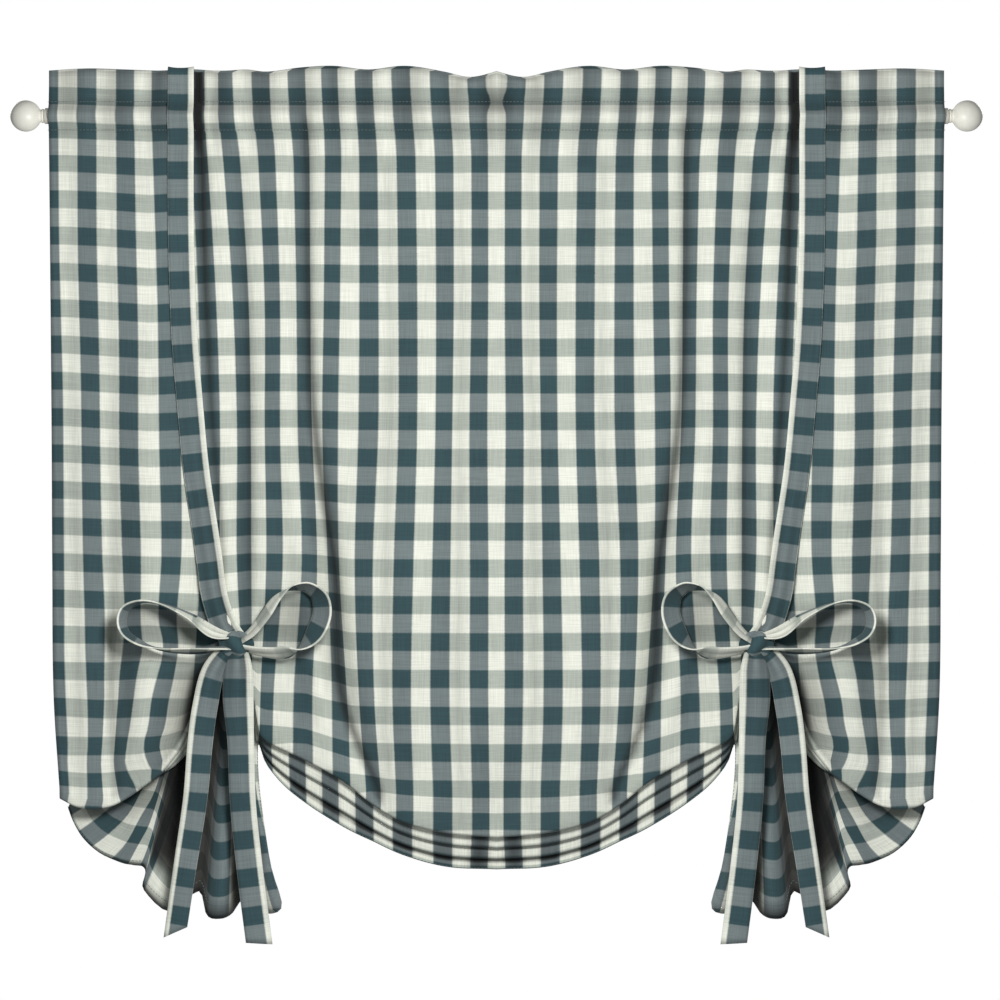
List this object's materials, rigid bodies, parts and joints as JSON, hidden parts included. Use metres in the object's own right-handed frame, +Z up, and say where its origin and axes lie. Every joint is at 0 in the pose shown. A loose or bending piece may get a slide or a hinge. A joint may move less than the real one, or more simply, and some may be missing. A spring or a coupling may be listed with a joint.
{
  "type": "tie-up shade on a curtain rod",
  "caption": "Checked cotton tie-up shade hung by a pocket from a straight rod with ball ends; cloth strips tied in bows gather its foot into a swag with pleated sides.",
  "frame": {"origin": "on the rod's axis at mid width", "axes": "+X along the rod to the viewer's right, +Y from the front to the window, +Z up"},
  "size_m": [0.9724, 0.0736, 0.877],
  "materials": {
    "panel_cloth": "plain woven cotton with a blue-green and white check",
    "tie_cloth": "the same checked cotton",
    "rod_paint": "off-white satin paint",
    "finial_paint": "off-white satin paint"
  },
  "bodies": {
    "root": {"shade_panel": "panel_cloth", "rod": "rod_paint", "finial_left": "finial_paint", "finial_right": "finial_paint", "tie_left": "tie_cloth", "tie_right": "tie_cloth"}
  },
  "joints": []
}
